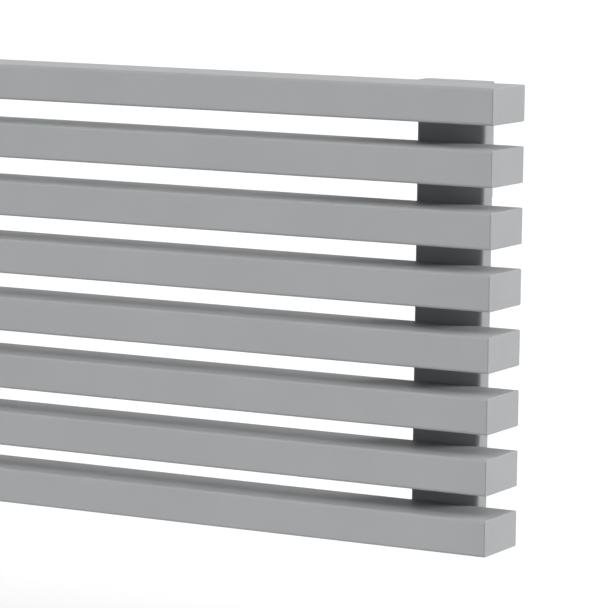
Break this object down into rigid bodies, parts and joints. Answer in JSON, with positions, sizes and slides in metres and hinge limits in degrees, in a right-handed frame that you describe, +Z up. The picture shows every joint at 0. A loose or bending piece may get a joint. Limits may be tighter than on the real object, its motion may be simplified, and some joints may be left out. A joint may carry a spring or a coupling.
{
  "type": "wall-hung bar radiator",
  "caption": "Wall-hung horizontal bar radiator of flat rectangular tubes on two rear headers, with wall hooks, spacers and an air vent.",
  "frame": {"origin": "on the wall plane, at the centre of the rectangle of the four wall screw holes", "axes": "+X along the bars to the right as seen from the room, -Y out of the wall into the room, +Z up"},
  "size_m": [1.6, 0.125, 0.38],
  "materials": {
    "coated_steel": "satin powder coat",
    "zinc_steel": "zinc plated",
    "brass": "turned",
    "rubber": "matt",
    "dark_plastic": "moulded",
    "pale_plastic": "moulded"
  },
  "bodies": {
    "wall_brackets": {"wall_bracket_left": "zinc_steel", "wall_bracket_right": "zinc_steel", "hook_liner_left": "pale_plastic", "hook_liner_right": "pale_plastic"},
    "radiator": {"bar_1": "coated_steel", "bar_2": "coated_steel", "bar_3": "coated_steel", "bar_4": "coated_steel", "bar_5": "coated_steel", "bar_6": "coated_steel", "bar_7": "coated_steel", "bar_8": "coated_steel", "end_caps_left": "coated_steel", "end_caps_right": "coated_steel", "header_left": "coated_steel", "header_right": "coated_steel", "header_caps": "coated_steel", "flow_socket": "coated_steel", "return_socket": "coated_steel", "vent_socket": "coated_steel", "plug_socket": "coated_steel", "vent_body": "brass", "vent_washer": "rubber", "blank_plug": "brass", "plug_washer": "rubber", "hanger_left": "coated_steel", "hanger_right": "coated_steel", "hanger_pin_left": "zinc_steel", "hanger_pin_right": "zinc_steel", "spacer_boss_left": "coated_steel", "spacer_boss_right": "coated_steel"},
    "needle_seal": {"needle_seal": "rubber"},
    "bleed_needle": {"bleed_needle": "brass"},
    "vent_outlet": {"vent_outlet": "pale_plastic"},
    "spacer_pad_left": {"spacer_pad_left": "dark_plastic"},
    "spacer_screw_left": {"spacer_screw_left": "zinc_steel"},
    "spacer_pad_right": {"spacer_pad_right": "dark_plastic"},
    "spacer_screw_right": {"spacer_screw_right": "zinc_steel"}
  },
  "joints": [
    {"name": "lift_off", "type": "slide", "parent": "wall_brackets", "child": "radiator", "axis": [0, 0, 1], "range_m": [0, 0.015]},
    {"name": "needle_travel", "type": "slide", "parent": "radiator", "child": "needle_seal", "axis": [0, 0, 1], "range_m": [0, 0.0015]},
    {"name": "needle_turn", "type": "hinge", "parent": "needle_seal", "child": "bleed_needle", "pos_m": [0.722, -0.0305, 0.04], "axis": [0, 0, 1], "range_deg": [0, 540]},
    {"name": "outlet_swivel", "type": "hinge", "parent": "radiator", "child": "vent_outlet", "pos_m": [0.722, -0.0305, 0.0478], "axis": [0, 0, 1], "continuous": true},
    {"name": "pad_left_travel", "type": "slide", "parent": "radiator", "child": "spacer_pad_left", "axis": [0, 1, 0], "range_m": [-0.006, 0]},
    {"name": "screw_left_turn", "type": "hinge", "parent": "spacer_pad_left", "child": "spacer_screw_left", "pos_m": [-0.722, -0.0083, -0.26], "axis": [0, 1, 0], "range_deg": [-1728, 0]},
    {"name": "pad_right_travel", "type": "slide", "parent": "radiator", "child": "spacer_pad_right", "axis": [0, 1, 0], "range_m": [-0.006, 0]},
    {"name": "screw_right_turn", "type": "hinge", "parent": "spacer_pad_right", "child": "spacer_screw_right", "pos_m": [0.722, -0.0083, -0.26], "axis": [0, 1, 0], "range_deg": [-1728, 0]}
  ],
  "couplings": [
    {"joint": "needle_turn", "follows": "needle_travel", "rad_per_m": 6283.1},
    {"joint": "screw_left_turn", "follows": "pad_left_travel", "rad_per_m": 5026.5},
    {"joint": "screw_right_turn", "follows": "pad_right_travel", "rad_per_m": 5026.5}
  ]
}
